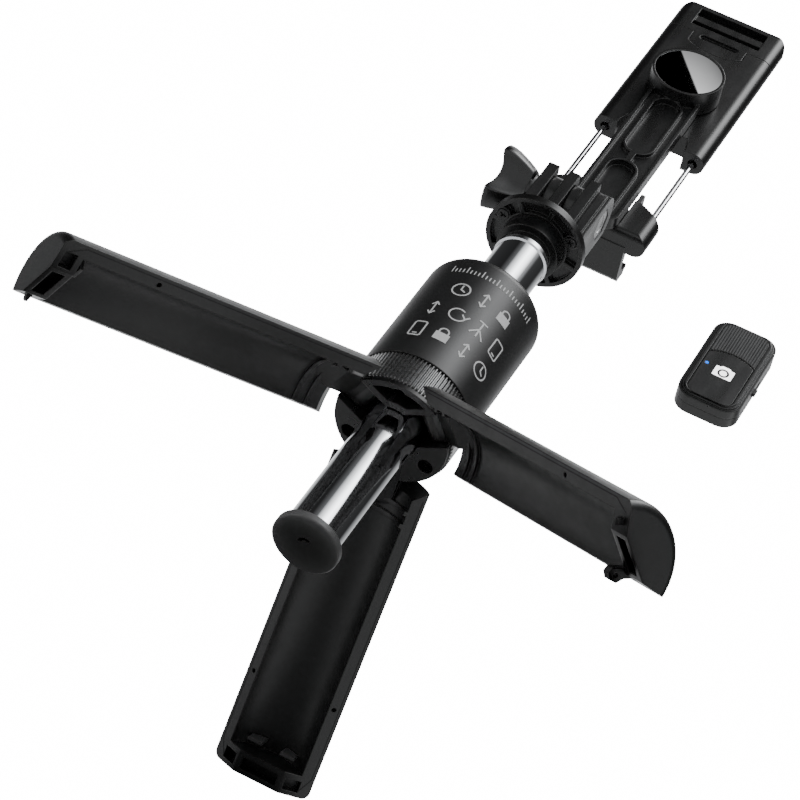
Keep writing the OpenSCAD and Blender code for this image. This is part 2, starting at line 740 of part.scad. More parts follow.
remote_mid = remote_z + remote_h / 2;
remote_seam = 3.4;     // depth of the joint between the two halves, from the front

module remote_outline(inset) {
    translate([remote_x, remote_mid])
        round_rect(remote_w - 2 * inset, remote_h - 2 * inset, 4.8 - inset);
}

// Window of the front, and the curved line that parts the key from the grip panel
module remote_window(grow) {
    translate([remote_x, remote_mid])
        round_rect(remote_w - 4.6 + 2 * grow, remote_h - 2.8 + 2 * grow, 2.6 + grow);
}

module key_disc(grow) {
    translate([remote_x, remote_z + 9]) circle(11.8 + grow);
}

module key_region(grow) {
    union() {
        translate([remote_x - 20, remote_z - 20]) square([40, 36]);
        key_disc(grow);
    }
}

module remote_case_front() color([0.1, 0.1, 0.105]) difference() {
    union() {
        // Sloping rim in three steps
        plate_y(remote_y, remote_y + 0.6) remote_outline(1.4);
        plate_y(remote_y + 0.5, remote_y + 1.1) remote_outline(0.8);
        plate_y(remote_y + 1, remote_y + remote_seam) remote_outline(0);
    }
    plate_y(remote_y + 1.6, remote_y + remote_seam + 1) remote_outline(1.3);
    plate_y(remote_y - 1, remote_y + 2) remote_window(0);
}

module remote_case_back() color([0.08, 0.08, 0.085]) difference() {
    plate_y(remote_y + remote_seam + 0.1, remote_y + remote_t) remote_outline(0);
    plate_y(remote_y + remote_seam, remote_y + remote_t - 1.1) remote_outline(1.3);
    // Slot of the side switch
    translate([remote_x + remote_w / 2 - 2, remote_y + remote_seam - 0.1, remote_mid - 3.2])
        cube([3, 1.7, 6.4]);
}

module remote_button() color([0.12, 0.12, 0.125]) difference() {
    plate_y(remote_y + 0.1, remote_y + 2) intersection() {
        remote_window(-0.15);
        key_region(-0.1);
    }
    rod_y_dir(0.55, remote_y - 1, remote_y + 3, remote_x - 5.2, remote_z + 14.2);
}

module remote_panel() color([0.12, 0.12, 0.125])
    plate_y(remote_y + 0.1, remote_y + 1.5) difference() {
        intersection() {
            remote_window(-0.05);
            translate([remote_x - 20, remote_z + 16.3]) square([40, 30]);
        }
        key_disc(0.2);
    }

module remote_led() color([0.1, 0.35, 1])
    rod_y_dir(0.5, remote_y + 0.15, remote_y + 1.9, remote_x - 5.2, remote_z + 14.2);

module remote_switch() color([0.15, 0.15, 0.155]) union() {
    translate([remote_x + remote_w / 2 - 1.2, remote_y + remote_seam + 0.3, remote_mid - 2.6])
        cube([1.9, 1, 2.2]);
    translate([remote_x + remote_w / 2 - 2.3, remote_y + remote_seam + 0.25, remote_mid - 3])
        cube([1.2, 1, 3]);
}

module remote_circuit_board() color([0.05, 0.3, 0.12])
    plate_y(remote_y + 2.6, remote_y + 3.3) translate([remote_x, remote_mid])
        round_rect(13.4, 29, 2.6);

module remote_battery() color([0.75, 0.75, 0.77])
    rod_y_dir(6.2, remote_y + 3.3, remote_y + 5.2, remote_x - 0.4, remote_z + 12);

// ---------------------------------------------------------------- nodes

hub_yoke();
knurled_band();
body_shell();
guide_bush();
hub_screws();
leg_hinge_pins();
leg_left();
leg_right();
leg_rear();
leg_left_clip();
leg_right_clip();
leg_rear_clips();
outer_tube();
end_cap();
tube_2();
tube_3();
tube_4();
tube_5();
tube_6();
head_socket();
flange_disc();
flange_screws();
hinge_block();
hinge_nut();
thumb_knob();
hinge_bolt();
arm_beam();
arm_back_cover();
mirror_disc();
clamp_housing();
clamp_front_plate();
clamp_pivot_stud();
upper_jaw();
upper_jaw_pad();
clamp_pad();
jaw_springs();
lower_jaw();
lower_jaw_pad();
jaw_rods();
rod_clips();
remote_case_back();
remote_case_front();
remote_button();
remote_panel();
remote_led();
remote_switch();
remote_battery();
remote_circuit_board();
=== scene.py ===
"""The looks of the tripod selfie stick: materials, fine details, lights and camera.

Sizes are in metres in the frame of the CAD part: the origin is the centre of the end cap's
face, +Z runs up the pole, and the phone side of the clamp faces +Y.
"""

import math

import bmesh
import bpy
from mathutils import Matrix, Vector


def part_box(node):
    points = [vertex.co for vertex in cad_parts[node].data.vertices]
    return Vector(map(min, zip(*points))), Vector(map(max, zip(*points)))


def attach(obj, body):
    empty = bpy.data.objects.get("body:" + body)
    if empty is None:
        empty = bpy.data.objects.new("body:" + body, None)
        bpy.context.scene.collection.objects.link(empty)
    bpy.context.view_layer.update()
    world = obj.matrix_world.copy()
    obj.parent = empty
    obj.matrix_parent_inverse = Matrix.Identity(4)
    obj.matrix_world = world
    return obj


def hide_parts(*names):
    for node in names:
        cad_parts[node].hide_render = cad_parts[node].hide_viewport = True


MM = 0.001
EDGE_RADIUS = 0.00035  # radius that the shading gives to moulded edges

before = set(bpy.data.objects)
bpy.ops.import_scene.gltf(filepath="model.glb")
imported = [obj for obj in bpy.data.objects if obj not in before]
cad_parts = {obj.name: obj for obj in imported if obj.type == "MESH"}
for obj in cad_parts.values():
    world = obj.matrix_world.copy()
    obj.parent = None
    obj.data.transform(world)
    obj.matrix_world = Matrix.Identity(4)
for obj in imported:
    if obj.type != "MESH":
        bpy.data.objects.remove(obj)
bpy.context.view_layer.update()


# ---------------------------------------------------------------- shader helpers

class Nodes:
    """A short way to build a material's node tree."""

    def __init__(self, name):
        self.material = bpy.data.materials.new(name)
        self.material.use_nodes = True
        self.tree = self.material.node_tree
        self.tree.nodes.clear()
        self.out = self.add("ShaderNodeOutputMaterial")
        self.coord = self.add("ShaderNodeTexCoord").outputs["Object"]

    def add(self, kind, **inputs):
        node = self.tree.nodes.new(kind)
        for key, value in inputs.items():
            self.set(node, key.replace("_", " "), value)
        return node

    def set(self, node, socket, value):
        if isinstance(value, bpy.types.NodeSocket):
            self.tree.links.new(value, node.inputs[socket])
        else:
            node.inputs[socket].default_value = value

    def noise(self, scale, detail=3.0, stretch=None):
        coord = self.coord
        if stretch:
            mapping = self.add("ShaderNodeMapping", Vector=coord, Scale=stretch)
            coord = mapping.outputs["Vector"]
        return self.add("ShaderNodeTexNoise", Vector=coord, Scale=scale,
                        Detail=detail).outputs["Fac"]

    def ramp(self, factor, stops):
        """Color ramp whose stops hold either a grey level or a color."""
        node = self.add("ShaderNodeValToRGB", Fac=factor)
        elements = node.color_ramp.elements
        while len(elements) < len(stops):
            elements.new(0.5)
        for element, (position, value) in zip(elements, stops):
            grey = isinstance(value, (int, float))
            element.position = position
            element.color = (value, value, value, 1) if grey else (*value, 1)
        return node.outputs["Color"]

    def math(self, operation, a, b):
        node = self.add("ShaderNodeMath")
        node.operation = operation
        self.set(node, 0, a)
        self.set(node, 1, b)
        return node.outputs[0]

    def fall(self, value, start, end, low, high):
        """Maps value from start..end to low..high."""
        return self.add("ShaderNodeMapRange", Value=value, From_Min=start, From_Max=end,
                        To_Min=low, To_Max=high).outputs[0]

    def bump(self, height, strength, distance, edge=EDGE_RADIUS):
        """Bump over edges that catch the light as a small moulded radius does."""
        node = self.add("ShaderNodeBump", Height=height, Strength=strength, Distance=distance)
        if edge:
            rounded = self.add("ShaderNodeBevel", Radius=edge)
            rounded.samples = 6
            self.set(node, "Normal", rounded.outputs[0])
        return node.outputs["Normal"]

    def surface(self, **inputs):
        shader = self.add("ShaderNodeBsdfPrincipled", **inputs)
        self.tree.links.new(shader.outputs[0], self.out.inputs["Surface"])
        return self.material


# ---------------------------------------------------------------- materials

PLASTIC_TINT = (1, 1, 1.01)


def moulded_plastic(name, shade, roughness, grain=1.0, edge=EDGE_RADIUS):
    """Satin moulded plastic: fine spark-eroded grain, soft cloudiness and a hint of handling."""
    n = Nodes(name)
    cloud = n.noise(60, 4)
    grain_height = n.noise(5200, 2)
    smear = n.noise(240, 3, stretch=(1, 1, 0.25))
    dark = [shade * 0.86 * t for t in PLASTIC_TINT]
    light = [shade * 1.16 * t for t in PLASTIC_TINT]
    color = n.ramp(cloud, [(0.3, dark), (0.7, light)])
    rough = n.ramp(smear, [(0.3, roughness - 0.04), (0.7, roughness + 0.05)])
    return n.surface(Base_Color=color, Roughness=rough,
                     Normal=n.bump(grain_height, 0.12 * grain, 0.00006, edge))


def chrome_plate(name):
    """Drawn chrome tube: faint draw lines along the axis and a little bloom in the gloss."""
    n = Nodes(name)
    lines = n.noise(900, 2, stretch=(1, 1, 0.01))
    bloom = n.noise(70, 3)
    color = n.ramp(bloom, [(0.3, (0.80, 0.81, 0.83)), (0.7, (0.88, 0.885, 0.90))])
    rough = n.ramp(lines, [(0.3, 0.07), (0.7, 0.11)])
    return n.surface(Base_Color=color, Metallic=1.0, Roughness=rough)


def plated_rib(name):
    """Dark lacquer with a metallic glint on the ribs of the grip ring."""
    n = Nodes(name)
    fleck = n.noise(1800, 3)
    color = n.ramp(fleck, [(0.3, 0.12), (0.7, 0.17)])
    rough = n.ramp(fleck, [(0.3, 0.24), (0.7, 0.34)])
    return n.surface(Base_Color=color, Metallic=0.85, Roughness=rough)


def screw_steel(name):
    """Zinc-plated steel with a light brushed grain."""
    n = Nodes(name)
    brush = n.noise(1500, 2, stretch=(0.15, 1, 1))
    color = n.ramp(brush, [(0.3, 0.36), (0.7, 0.46)])
    rough = n.ramp(brush, [(0.3, 0.26), (0.7, 0.38)])
    return n.surface(Base_Color=color, Metallic=1.0, Roughness=rough,
                     Normal=n.bump(brush, 0.08, 0.00002))


def black_screw(name):
    """Blackened screw head."""
    n = Nodes(name)
    speck = n.noise(1400, 3)
    color = n.ramp(speck, [(0.35, 0.02), (0.7, 0.05)])
    rough = n.ramp(speck, [(0.3, 0.22), (0.7, 0.34)])
    return n.surface(Base_Color=color, Metallic=0.7, Roughness=rough)


def mirror_glass(name):
    """Silvered mirror with the faintest wash of dust."""
    n = Nodes(name)
    dust = n.noise(260, 4)
    color = n.ramp(dust, [(0.3, (0.86, 0.87, 0.88)), (0.7, (0.90, 0.91, 0.92))])
    rough = n.ramp(dust, [(0.4, 0.012), (0.8, 0.03)])
    return n.surface(Base_Color=color, Metallic=1.0, Roughness=rough)


def pad_rubber(name):
    """Soft matte rubber with a fine pebble."""
    n = Nodes(name)
    pebble = n.noise(2600, 3)
    cloud = n.noise(90, 3)
    color = n.ramp(cloud, [(0.3, 0.018), (0.7, 0.03)])
    rough = n.ramp(pebble, [(0.3, 0.72), (0.7, 0.86)])
    return n.surface(Base_Color=color, Roughness=rough, Normal=n.bump(pebble, 0.35, 0.00008))


def lamp_lens(name):
    """The remote's blue pilot lamp, lit."""
    n = Nodes(name)
    spot = n.noise(900, 2)
    color = n.ramp(spot, [(0.3, (0.0, 0.16, 1.0)), (0.7, (0.0, 0.26, 1.0))])
    return n.surface(Base_Color=color, Roughness=0.2, Emission_Color=color,
                     Emission_Strength=0.9)


def circuit_board(name):
    """Green solder mask over copper tracks."""
    n = Nodes(name)
    tracks = n.noise(420, 2)
    color = n.ramp(tracks, [(0.45, (0.01, 0.09, 0.03)), (0.55, (0.03, 0.18, 0.07))])
    return n.surface(Base_Color=color, Roughness=0.35, Normal=n.bump(tracks, 0.3, 0.00004))


def printed_ink(name, shade, glow=0.0):
    """Thin pad-printed ink with slightly uneven cover; a glow above zero adds painted light, an
    emission that keeps the ink brighter than the lamps make it.
    """
    n = Nodes(name)
    cover = n.noise(1800, 3)
    color = n.ramp(cover, [(0.3, shade * 0.9), (0.7, min(1.0, shade * 1.05))])
    rough = n.ramp(cover, [(0.3, 0.5), (0.7, 0.62)])
    return n.surface(Base_Color=color, Roughness=rough, Emission_Color=color,
                     Emission_Strength=glow)


MATERIALS = {
    "black": moulded_plastic("black_satin_plastic", 0.004, 0.29),
    "leg": moulded_plastic("leg_plastic", 0.004, 0.34, grain=1.6),
    "body": moulded_plastic("body_lacquer", 0.008, 0.38, grain=0.15),
    "knurl": plated_rib("knurl_lacquer"),
    "clamp": moulded_plastic("clamp_plastic", 0.004, 0.29),
    "inner": moulded_plastic("inner_plastic", 0.03, 0.5),
    "remote": moulded_plastic("remote_plastic", 0.006, 0.30),
    "panel": moulded_plastic("remote_grip_plastic", 0.050, 0.34, grain=0.2, edge=0),
    "chrome": chrome_plate("chrome_tube"),
    "steel": screw_steel("zinc_steel"),
    "black_screw": black_screw("black_screw"),
    "seam": moulded_plastic("shadow_gap", 0.0015, 0.8, grain=0.2, edge=0),
    "cap": moulded_plastic("cap_plastic", 0.060, 0.5),
    "mirror": mirror_glass("mirror_glass"),
    "rubber": pad_rubber("pad_rubber"),
    "lamp": lamp_lens("pilot_lamp"),
    "board": circuit_board("circuit_board"),
    "grey_ink": printed_ink("grey_print", 0.40),
    # The white print glows: painted light, an emission that makes the ink shine brighter than the
    # lamps light it.
    "white_ink_painted_glow": printed_ink("white_print_painted_glow", 0.95, 2.5),
}

NODE_MATERIALS = {
    "black": ["hub_yoke", "head_socket", "flange_disc", "hinge_block", "thumb_knob", "arm_beam",
              "arm_back_cover"],
    "cap": ["end_cap"],
    "leg": ["leg_left", "leg_right", "leg_rear"],
    "body": ["body_shell"],
    "knurl": ["knurled_band"],
    "clamp": ["clamp_housing", "clamp_front_plate", "upper_jaw", "lower_jaw"],
    "inner": ["guide_bush", "leg_left_clip", "leg_right_clip", "leg_rear_clips"],
    "remote": ["remote_case_back", "remote_case_front", "remote_button", "remote_switch",
               "remote_panel"],
    "chrome": ["outer_tube", "tube_2", "tube_3", "tube_4", "tube_5", "tube_6", "jaw_rods"],
    "steel": ["leg_hinge_pins", "hinge_nut", "hinge_bolt", "clamp_pivot_stud", "jaw_springs",
              "rod_clips", "remote_battery"],
    "black_screw": ["hub_screws", "flange_screws"],
    "mirror": ["mirror_disc"],
    "rubber": ["upper_jaw_pad", "clamp_pad", "lower_jaw_pad"],
    "lamp": ["remote_led"],
    "board": ["remote_circuit_board"],
}


def dress_cad_nodes():
    """Gives every CAD node its material."""
    for key, names in NODE_MATERIALS.items():
        for name in names:
            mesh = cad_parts[name].data
            mesh.materials.clear()
            mesh.materials.append(MATERIALS[key])


# ---------------------------------------------------------------- mesh helpers

def new_piece(name, mesh_builder, material, body, smooth=False):
    """Makes an object from bmesh code, gives it its material and lets it ride on a CAD body."""
    bm = bmesh.new()
    mesh_builder(bm)
    bmesh.ops.remove_doubles(bm, verts=bm.verts, dist=1e-7)
    bmesh.ops.recalc_face_normals(bm, faces=bm.faces)
    mesh = bpy.data.meshes.new(name)
    bm.to_mesh(mesh)
    bm.free()
    if smooth:
        mesh.shade_smooth()
    mesh.materials.append(MATERIALS[material])
    piece = bpy.data.objects.new(name, mesh)
    bpy.context.scene.collection.objects.link(piece)
    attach(piece, body)
    return piece


def stage_square(name, half, z, material):
    """Flat square for the stage: the floor or the mirror's card."""
    mesh = bpy.data.meshes.new(name)
    mesh.from_pydata([(-half, -half, z), (half, -half, z), (half, half, z), (-half, half, z)],
                     [], [(0, 1, 2, 3)])
    mesh.materials.append(material)
    square = bpy.data.objects.new(name, mesh)
    bpy.context.scene.collection.objects.link(square)
    return square


def add_tube(bm, rings):
    """Faces between closed rings that hold the same number of vertices."""
    for a, b in zip(rings, rings[1:]):
        for k in range(len(a)):
            j = (k + 1) % len(a)
            bm.faces.new((a[k], a[j], b[j], b[k]))


def add_prism(bm, outline, place, low, high):
    """Closed prism over a 2D outline; place(u, v, w) maps outline and height into space."""
    bottom = [bm.verts.new(place(u, v, low)) for u, v in outline]
    top = [bm.verts.new(place(u, v, high)) for u, v in outline]
    count = len(outline)
    bm.faces.new(bottom[::-1])
    bm.faces.new(top)
    for i in range(count):
        j = (i + 1) % count
        bm.faces.new((bottom[i], bottom[j], top[j], top[i]))


def stroke(points, width, closed=False):
    """Quads along a polyline, as a list of outlines; each runs a little past its ends."""
    quads = []
    count = len(points)
    last = count if closed else count - 1
    for i in range(last):
        a, b = Vector(points[i]), Vector(points[(i + 1) % count])
        along = (b - a).normalized() * width * 0.5
        across = Vector((-along.y, along.x))
        past = along * 0.6
        quads.append([tuple(a - past - across), tuple(b + past - across),
                      tuple(b + past + across), tuple(a - past + across)])
    return quads


def arc_points(center, radius, start, end, steps):
    """Points on an arc from start to end, in degrees, both ends included."""
    angles = [math.radians(start + (end - start) * i / steps) for i in range(steps + 1)]
    return [(center[0] + radius * math.cos(angle), center[1] + radius * math.sin(angle))
            for angle in angles]


def rounded_rectangle(width, height, radius, steps):
    """Outline round the origin, counter-clockwise from the right."""
    points = []
    for sx, sy, start in ((1, 1, 0), (-1, 1, 90), (-1, -1, 180), (1, -1, 270)):
        center = (sx * (width / 2 - radius), sy * (height / 2 - radius))
        points += arc_points(center, radius, start, start + 90, steps)
    return points


# ---------------------------------------------------------------- knurled ring

LEG_BODIES = (("left_leg", 210), ("right_leg", 330), ("rear_leg", 90))
RIBS = 96
RIB_PROFILE = (0.0, 0.0, 1.0, 1.0)  # height of one rib at its steps: a valley, then a flat top


def build_knurl(bm):
    """Upright ribs on the band, open below where the legs swing through."""
    low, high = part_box("knurled_band")
    r_tip, r_root, r_inner = 15.95 * MM, 15.35 * MM, 14.75 * MM
    notch_top = low.z + 6.4 * MM
    notch_half = 6.6 * MM
    chamfer = 0.3 * MM
    valley_inset = 0.05 * MM
    levels = [low.z, low.z + chamfer, notch_top, high.z - chamfer, high.z]
    notch_level = levels.index(notch_top)
    steps = RIBS * len(RIB_PROFILE)

    def present(i, level):
        """Whether a cell is there, counted from the level at its foot: the notches are open."""
        angle = 360 * (i + 0.5) / steps
        inside = any(abs(math.radians((angle - a + 180) % 360 - 180)) * r_tip < notch_half
                     for _, a in LEG_BODIES)
        return level >= notch_level or not inside

    def vertex(i, level, outer):
        angle = math.radians(360 * (i % steps) / steps)
        radius = r_inner
        if outer:
            wave = RIB_PROFILE[i % len(RIB_PROFILE)]
            tip = r_tip if 0 < level < len(levels) - 1 else r_tip - chamfer
            radius = r_root - valley_inset + (tip - r_root) * wave
        return Vector((radius * math.cos(angle), radius * math.sin(angle), levels[level]))

    def quad(*corners):
        bm.faces.new([bm.verts.new(c) for c in corners])

    for i in range(steps):
        for level in range(len(levels) - 1):
            if not present(i, level):
                continue
            for outer in (True, False):
                quad(vertex(i, level, outer), vertex(i + 1, level, outer),
                     vertex(i + 1, level + 1, outer), vertex(i, level + 1, outer))
            for side in (0, 1):
                if not present((i + (1 if side else -1)) % steps, level):
                    k = i + side
                    quad(vertex(k, level, True), vertex(k, level, False),
                         vertex(k, level + 1, False), vertex(k, level + 1, True))
            if level == 0 or not present(i, level - 1):
                quad(vertex(i, level, True), vertex(i + 1, level, True),
                     vertex(i + 1, level, False), vertex(i, level, False))
            if level == len(levels) - 2:
                quad(vertex(i, level + 1, True), vertex(i + 1, level + 1, True),
                     vertex(i + 1, level + 1, False), vertex(i, level + 1, False))


def knurled_ring():
    ring = new_piece("knurled_ring", build_knurl, "knurl", "base")
    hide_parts("knurled_band")


# ---------------------------------------------------------------- legs

LEG_OPEN = math.radians(60.25)
HINGE_RADIUS = 10.5 * MM
WEDGE_HALF_ANGLE = math.radians(60)


def leg_seams():
    """Thin dark joint line between the outer shell and the rim, on both radial faces."""
    pin_low, pin_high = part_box("leg_hinge_pins")
    pin_z = (pin_low.z + pin_high.z) / 2
    # Where the two radial faces of a folded leg meet, which leaves the gap between two legs
    apex = 0.1732 * MM
    seam_width = 0.26
    # Distance from the apex along the face, and height below the hinge, in mm
    path = ((14.62, -8.0), (14.62, -86.5), (12.4, -90.4))

    for body, azimuth in LEG_BODIES:
        placed = (Matrix.Rotation(math.radians(azimuth), 4, "Z")
                  @ Matrix.Translation((HINGE_RADIUS, 0, pin_z))
                  @ Matrix.Rotation(-LEG_OPEN, 4, "Y")
                  @ Matrix.Translation((-HINGE_RADIUS, 0, 0)))

        def build(bm):
            for side in (1, -1):
                cosine, sine = math.cos(WEDGE_HALF_ANGLE), math.sin(WEDGE_HALF_ANGLE)
                along = Vector((cosine, side * sine, 0))
                outward = Vector((-sine, side * cosine, 0))

                def on_face(u, v, w):
                    point = Vector((apex, 0, v * MM)) + along * u * MM + outward * w
                    return placed @ point

                for quad in stroke(path, seam_width):
                    add_prism(bm, quad, on_face, -0.05 * MM, 0.03 * MM)

        new_piece("seam_" + body, build, "seam", body)


# ---------------------------------------------------------------- thumb knob

KNOB_LOBES = (150, 270, 30)
KNOB_AXIS_Z = 147.1 * MM
KNOB_RADIUS = 9.7 * MM
# Place along the knob from the outer end, and its size there
KNOB_STATIONS = ((0.0, 0.90), (0.03, 0.97), (0.08, 1.0), (0.2, 0.99), (0.35, 0.95), (0.5, 0.89),
                 (0.65, 0.82), (0.8, 0.74), (0.92, 0.67), (1.0, 0.60))


def knob_radius(angle, along, scale):
    """Outline of the lobes: a circle, less a round scoop between each two of them."""
    scoop_radius = 9.4 * MM
    scoop_distance = (15.2 - 1.5 * along) * MM
    blend = 0.8 * MM
    radius = KNOB_RADIUS * scale
    for lobe in KNOB_LOBES:
        offset = angle - math.radians(lobe + 60)
        side = scoop_distance * math.sin(offset)
        if math.cos(offset) > 0 and abs(side) < scoop_radius:
            reach = scoop_distance * math.cos(offset) - math.sqrt(scoop_radius ** 2 - side ** 2)
            gap = max(0.0, min(1.0, 0.5 + (reach - radius) / (2 * blend)))
            radius = reach * (1 - gap) + radius * gap - blend * gap * (1 - gap)
    return radius


def build_knob(bm):
    """Three wide lobes with deep scoops, drawn in at both ends, and a collar at the hinge."""
    low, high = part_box("thumb_knob")
    outer = low.x
    inner = high.x - 1.2 * MM
    dish = 3.0 * MM
    hub_depth = 3.2 * MM
    around, collar_around = 144, 48

    def vertex(x, radius, angle):
        return bm.verts.new((x, radius * math.cos(angle),
                             KNOB_AXIS_Z + radius * math.sin(angle)))

    rings = []
    for along, scale in KNOB_STATIONS:
        ring = []
        for k in range(around):
            angle = 2 * math.pi * k / around
            radius = knob_radius(angle, along, scale)
            inset = dish * max(0.0, 1 - 2 * along) * (1 - (radius / KNOB_RADIUS) ** 2)
            ring.append(vertex(outer + (inner - outer) * along + max(0.0, inset), radius, angle))
        rings.append(ring)
    add_tube(bm, rings)
    # Dished outer end and flat inner end
    for ring, x in ((rings[0], outer + hub_depth), (rings[-1], inner)):
        hub = bm.verts.new((x, 0, KNOB_AXIS_Z))
        for k in range(around):
            bm.faces.new((ring[k], ring[(k + 1) % around], hub))
    # Collar towards the hinge
    add_tube(bm, [[vertex(x, radius, 2 * math.pi * k / collar_around)
                   for k in range(collar_around)]
                  for x, radius in ((inner - 0.5 * MM, 5.0 * MM), (high.x - 0.2 * MM, 5.0 * MM),
                                    (high.x, 4.8 * MM), (high.x, 2.6 * MM))])


def thumb_knob():
    knob = new_piece("thumb_knob_shaped", build_knob, "black", "knob",
                     smooth=True)
    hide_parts("thumb_knob")


# ---------------------------------------------------------------- printed marks

def body_marks():
    """Generic pictograms printed round the body: a phone, a tripod, a turn arrow and the like."""
    radius = 16.0 * MM
    center_azimuth = math.radians(-76)
    # Sizes and places on the unrolled body, in mm
    ink, scale_ink = 0.42, 0.3
    mark_pitch, scale_pitch = 6.6, 1.05
    scale_strokes, scale_z = 25, 91.5
    strip_width = 0.45

    def on_body(u, v, w):
        angle = center_azimuth + u * MM / radius
        r = radius + w
        return Vector((r * math.cos(angle), r * math.sin(angle), v * MM))

    marks = []

    def put(quads, u, v):
        marks.extend([[(x + u, y + v) for x, y in quad] for quad in quads])

    def ring(r):
        return stroke(arc_points((0, 0), r, 0, 360, 28)[:-1], ink, closed=True)

    phone = stroke(rounded_rectangle(3.2, 5.6, 0.6, 3), ink, closed=True)
    phone += stroke([(-0.5, -1.9), (0.5, -1.9)], ink)
    tripod = (stroke([(0, 2.6), (0, -0.2)], ink) + stroke([(0, 0), (-2, -2.6)], ink)
              + stroke([(0, 0), (2, -2.6)], ink) + stroke([(0, 0), (0, -2.6)], ink)
              + stroke([(-1.2, 2.6), (1.2, 2.6)], ink))
    turn = (stroke(arc_points((0, 0), 2.2, 60, 350, 22), ink)
            + stroke([(2.3, -0.2), (3.0, 0.9)], ink) + stroke([(2.1, -0.3), (1.1, 0.7)], ink))
    slide = (stroke([(0, -2.4), (0, 2.4)], ink) + stroke([(0, 2.5), (-0.9, 1.4)], ink)
             + stroke([(0, 2.5), (0.9, 1.4)], ink) + stroke([(0, -2.5), (-0.9, -1.4)], ink)
             + stroke([(0, -2.5), (0.9, -1.4)], ink))
    lock = ([[(-1.9, -2.0), (1.9, -2.0), (1.9, 0.9), (-1.9, 0.9)]]
            + stroke([(1.2, 0.9), *arc_points((0, 1.4), 1.2, 0, 180, 10), (-1.2, 0.9)], ink))
    dial = ring(2.3) + stroke([(0, 0), (0, 1.6)], ink) + stroke([(0, 0), (1.1, -0.6)], ink)
    rows = [(66.5, (phone, lock, slide, dial)), (75.5, (slide, turn, tripod, phone)),
            (84.5, (dial, slide, lock))]
    for z, row in rows:
        for i, mark in enumerate(row):
            put(mark, (i - (len(row) - 1) / 2) * mark_pitch, z)
    # A scale of short strokes in place of lettering near the top
    for i in range(scale_strokes):
        height = 2.2 if i % 4 == 0 else 1.2
        put(stroke([(0, 0), (0, height)], scale_ink), (i - scale_strokes // 2) * scale_pitch,
            scale_z)

    def build(bm):
        for a, b, c, d in marks:
            # Short strips, so that wide marks follow the curve of the body
            widest = max(abs(b[0] - a[0]), abs(c[0] - d[0]))
            strips = max(1, math.ceil(widest / strip_width))
            for k in range(strips):
                low_f, high_f = k / strips, (k + 1) / strips
                corners = [(p[0] + (q[0] - p[0]) * f, p[1] + (q[1] - p[1]) * f)
                           for p, q, f in ((a, b, low_f), (a, b, high_f), (d, c, high_f),
                                           (d, c, low_f))]
                add_prism(bm, corners, on_body, 0.01 * MM, 0.05 * MM)

    new_piece("body_print", build, "grey_ink", "base")


# ---------------------------------------------------------------- remote

def remote_ribs():
    """Upright ribs on the grip panel, each cut off by the key's arc below, the corner above."""
    low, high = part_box("remote_panel")
    center_x = (low.x + high.x) / 2
    face = low.y
    arc_center_z = 132.2 * MM
    arc_radius = 12.1 * MM
    corner = 2.6 * MM
    pitch = 0.74 * MM
    half = (high.x - low.x) / 2 - 0.35 * MM
    sunk = 0.01 * MM
    # Across the rib and out from the panel, in mm
    profile = ((-0.22, 0), (-0.15, 0.26), (0.15, 0.26), (0.22, 0))

    def build(bm):
        count = int(half / pitch)
        for i in range(-count, count + 1):
            x = i * pitch
            bottom = arc_center_z + math.sqrt(arc_radius ** 2 - x ** 2)
            inset = max(0.0, abs(x) - (half - corner))
            top = high.z - 0.3 * MM - (corner - math.sqrt(max(0.0, corner ** 2 - inset ** 2)))
            add_prism(bm, profile,
                      lambda u, w, z: Vector((center_x + x + u * MM, face - w * MM + sunk, z)),
                      bottom, top)

    new_piece("remote_grip_ribs", build, "panel", "remote")


def onto_rounded_box(point, half_width, half_height, corner):
    """Moves a point out from the origin until it lies on a rounded rectangle."""
    x, y = point
    scale = min(half_width / max(abs(x), 1e-6), half_height / max(abs(y), 1e-6))
    px, py = x * scale, y * scale
    cx, cy = half_width - corner, half_height - corner
    if abs(px) > cx and abs(py) > cy:
        out = Vector((abs(px) - cx, abs(py) - cy)).normalized() * corner
        px = math.copysign(cx + out.x, px)
        py = math.copysign(cy + out.y, py)
    return (px, py)


def remote_camera_mark():
    """Camera pictogram on the remote's key, in white ink that glows with painted light."""
    key_low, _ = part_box("remote_button")
    mark_x, mark_z = 57.1, 136.0
    ink = 0.03 * MM
    around = 96
    hump = [(-1.5, 1.9), (1.5, 1.9), (1.1, 2.5), (-1.1, 2.5)]
    lens_rim = arc_points((0, -0.1), 1.6, 0, 360, around)[:-1]
    lens = arc_points((0, -0.1), 1.0, 0, 360, around)[:-1]
    outline = [onto_rounded_box(point, 2.7, 1.95, 0.35) for point in lens_rim]

    def on_key(u, v, w):
        return Vector(((mark_x + u) * MM, key_low.y - w, (mark_z + v) * MM))

    def build(bm):
        # The camera's body in slices round the lens, so that a ring round the lens stays dark
        for k in range(around):
            j = (k + 1) % around
            add_prism(bm, [lens_rim[k], outline[k], outline[j], lens_rim[j]], on_key, 0.0, ink)
        add_prism(bm, lens, on_key, 0.0, ink)
        add_prism(bm, hump, on_key, 0.0, ink)

    new_piece("remote_camera_mark", build, "white_ink_painted_glow", "remote_key")


# ---------------------------------------------------------------- camera, lights and floor

AZIMUTH, ELEVATION, ROLL = math.radians(17.657), math.radians(-43.515), math.radians(-37.409)
DISTANCE = 0.79235
TARGET = Vector((-10.94, 25.16, 81.25)) * MM
LENS = 138.86


def camera_axes():
    """The camera's right and up, and the way from its target to it."""
    toward = Vector((math.sin(AZIMUTH) * math.cos(ELEVATION),
                     -math.cos(AZIMUTH) * math.cos(ELEVATION), math.sin(ELEVATION)))
    level = Vector((math.cos(AZIMUTH), math.sin(AZIMUTH), 0))
    upright = level.cross(-toward)
    right = math.cos(ROLL) * level - math.sin(ROLL) * upright
    up = math.sin(ROLL) * level + math.cos(ROLL) * upright
    return right, up, toward


